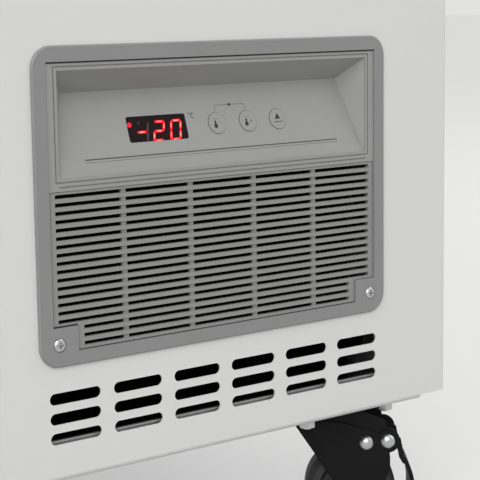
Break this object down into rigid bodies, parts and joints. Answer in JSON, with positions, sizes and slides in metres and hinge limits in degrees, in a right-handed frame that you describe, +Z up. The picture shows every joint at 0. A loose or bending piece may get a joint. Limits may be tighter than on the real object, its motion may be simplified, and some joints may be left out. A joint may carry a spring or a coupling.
{
  "type": "island freezer",
  "caption": "Chest-type island display freezer with curved sliding glass lids, a low control and grille bezel at its right end, and braked swivel casters.",
  "frame": {"origin": "on the floor under the middle of the freezer's box", "axes": "+X along the length towards the machine end, -Y out of the front, +Z up"},
  "size_m": [1.524, 0.784, 0.919],
  "materials": {
    "panel_white": "satin",
    "galvanised": "satin",
    "foam": "matte",
    "tank_white": "satin",
    "copper": "satin",
    "frame_grey": "satin",
    "glass": "gloss",
    "lid_trim": "satin",
    "handle_dark": "satin",
    "bezel_grey": "satin",
    "grille_grey": "satin",
    "pod_grey": "satin",
    "lens_dark": "gloss",
    "board_green": "matte",
    "button_grey": "satin",
    "screw_steel": "satin",
    "compressor_black": "satin",
    "rubber": "matte",
    "plastic_black": "matte",
    "condenser_steel": "satin",
    "motor_dark": "satin",
    "blade_metal": "satin",
    "drain_white": "satin",
    "wire_white": "gloss",
    "bolt_zinc": "gloss",
    "fork_black": "satin",
    "wheel_black": "matte"
  },
  "bodies": {
    "cabinet": {"front_panel": "panel_white", "back_panel": "panel_white", "left_end_panel": "panel_white", "right_end_panel": "panel_white", "base_pan": "galvanised", "chassis_rails": "galvanised", "compressor_base_plate": "galvanised", "compartment_sheet": "galvanised", "foam_insulation": "foam", "inner_tank": "tank_white", "evaporator_coil": "copper", "filter_drier": "copper", "refrigerant_pipes": "copper", "front_rail": "frame_grey", "back_rail": "frame_grey", "left_end_frame": "frame_grey", "right_end_frame": "frame_grey", "bezel_frame": "bezel_grey", "grille_insert": "grille_grey", "control_pod": "pod_grey", "display_lens": "lens_dark", "display_module": "board_green", "bezel_screws": "screw_steel", "compressor": "compressor_black", "compressor_grommets": "rubber", "terminal_cover": "plastic_black", "fan_shroud": "plastic_black", "rear_grille": "plastic_black", "power_inlet": "plastic_black", "condenser": "condenser_steel", "fan_motor": "motor_dark", "drain_tube": "drain_white", "floor_grids": "wire_white", "caster_bolts": "bolt_zinc", "caster_plates": "fork_black"},
    "lid_upper": {"lid_glass_upper": "glass", "lid_frame_upper": "lid_trim", "lid_handle_upper": "handle_dark"},
    "lid_lower": {"lid_glass_lower": "glass", "lid_frame_lower": "lid_trim", "lid_handle_lower": "handle_dark"},
    "button_cooler": {"button_cooler": "button_grey"},
    "button_warmer": {"button_warmer": "button_grey"},
    "button_set": {"button_set": "button_grey"},
    "drain_plug": {"drain_plug": "rubber"},
    "divider_left": {"divider_left": "wire_white"},
    "divider_right": {"divider_right": "wire_white"},
    "fan": {"fan_blade": "blade_metal"},
    "caster_front_left": {"fork_front_left": "fork_black"},
    "roll_front_left": {"wheel_front_left": "wheel_black"},
    "caster_front_right": {"fork_front_right": "fork_black"},
    "roll_front_right": {"wheel_front_right": "wheel_black"},
    "caster_back_left": {"fork_back_left": "fork_black"},
    "roll_back_left": {"wheel_back_left": "wheel_black"},
    "caster_back_right": {"fork_back_right": "fork_black"},
    "roll_back_right": {"wheel_back_right": "wheel_black"},
    "brake_pedal_left": {"brake_left": "fork_black"},
    "brake_pedal_right": {"brake_right": "fork_black"}
  },
  "joints": [
    {"name": "lid_upper_slide", "type": "slide", "parent": "cabinet", "child": "lid_upper", "axis": [1, 0, 0], "range_m": [0, 0.668]},
    {"name": "lid_lower_slide", "type": "slide", "parent": "cabinet", "child": "lid_lower", "axis": [1, 0, 0], "range_m": [-0.668, 0]},
    {"name": "button_cooler_press", "type": "slide", "parent": "cabinet", "child": "button_cooler", "axis": [0, 0.9511, -0.309], "range_m": [0, 0.0005], "stiffness_N_per_m": 800},
    {"name": "button_warmer_press", "type": "slide", "parent": "cabinet", "child": "button_warmer", "axis": [0, 0.9511, -0.309], "range_m": [0, 0.0005], "stiffness_N_per_m": 800},
    {"name": "button_set_press", "type": "slide", "parent": "cabinet", "child": "button_set", "axis": [0, 0.9511, -0.309], "range_m": [0, 0.0005], "stiffness_N_per_m": 800},
    {"name": "drain_plug_lift", "type": "slide", "parent": "cabinet", "child": "drain_plug", "axis": [0, 0, 1], "range_m": [0, 0.06]},
    {"name": "divider_left_slide", "type": "slide", "parent": "cabinet", "child": "divider_left", "axis": [1, 0, 0], "range_m": [-0.14, 0.14]},
    {"name": "divider_right_slide", "type": "slide", "parent": "cabinet", "child": "divider_right", "axis": [1, 0, 0], "range_m": [-0.14, 0.14]},
    {"name": "fan_spin", "type": "hinge", "parent": "cabinet", "child": "fan", "pos_m": [0.559, -0.28, 0.195], "axis": [0, 1, 0], "continuous": true},
    {"name": "swivel_front_left", "type": "hinge", "parent": "cabinet", "child": "caster_front_left", "pos_m": [-0.664, -0.33, 0.09], "axis": [0, 0, 1], "continuous": true},
    {"name": "wheel_front_left_roll", "type": "hinge", "parent": "caster_front_left", "child": "roll_front_left", "pos_m": [-0.637, -0.33, 0.0325], "axis": [0, 1, 0], "continuous": true},
    {"name": "swivel_front_right", "type": "hinge", "parent": "cabinet", "child": "caster_front_right", "pos_m": [0.664, -0.33, 0.09], "axis": [0, 0, 1], "continuous": true},
    {"name": "wheel_front_right_roll", "type": "hinge", "parent": "caster_front_right", "child": "roll_front_right", "pos_m": [0.68513, -0.34681, 0.0325], "axis": [0.6225, 0.7826, 0], "continuous": true},
    {"name": "swivel_back_left", "type": "hinge", "parent": "cabinet", "child": "caster_back_left", "pos_m": [-0.664, 0.33, 0.09], "axis": [0, 0, 1], "continuous": true},
    {"name": "wheel_back_left_roll", "type": "hinge", "parent": "caster_back_left", "child": "roll_back_left", "pos_m": [-0.637, 0.33, 0.0325], "axis": [0, 1, 0], "continuous": true},
    {"name": "swivel_back_right", "type": "hinge", "parent": "cabinet", "child": "caster_back_right", "pos_m": [0.664, 0.33, 0.09], "axis": [0, 0, 1], "continuous": true},
    {"name": "wheel_back_right_roll", "type": "hinge", "parent": "caster_back_right", "child": "roll_back_right", "pos_m": [0.691, 0.33, 0.0325], "axis": [0, 1, 0], "continuous": true},
    {"name": "brake_left_press", "type": "hinge", "parent": "caster_front_left", "child": "brake_pedal_left", "pos_m": [-0.6112, -0.33, 0.0703], "axis": [0, 1, 0], "range_deg": [0, 12]},
    {"name": "brake_right_press", "type": "hinge", "parent": "caster_front_right", "child": "brake_pedal_right", "pos_m": [0.70532, -0.36287, 0.0703], "axis": [0.6225, 0.7826, 0], "range_deg": [0, 12]}
  ]
}
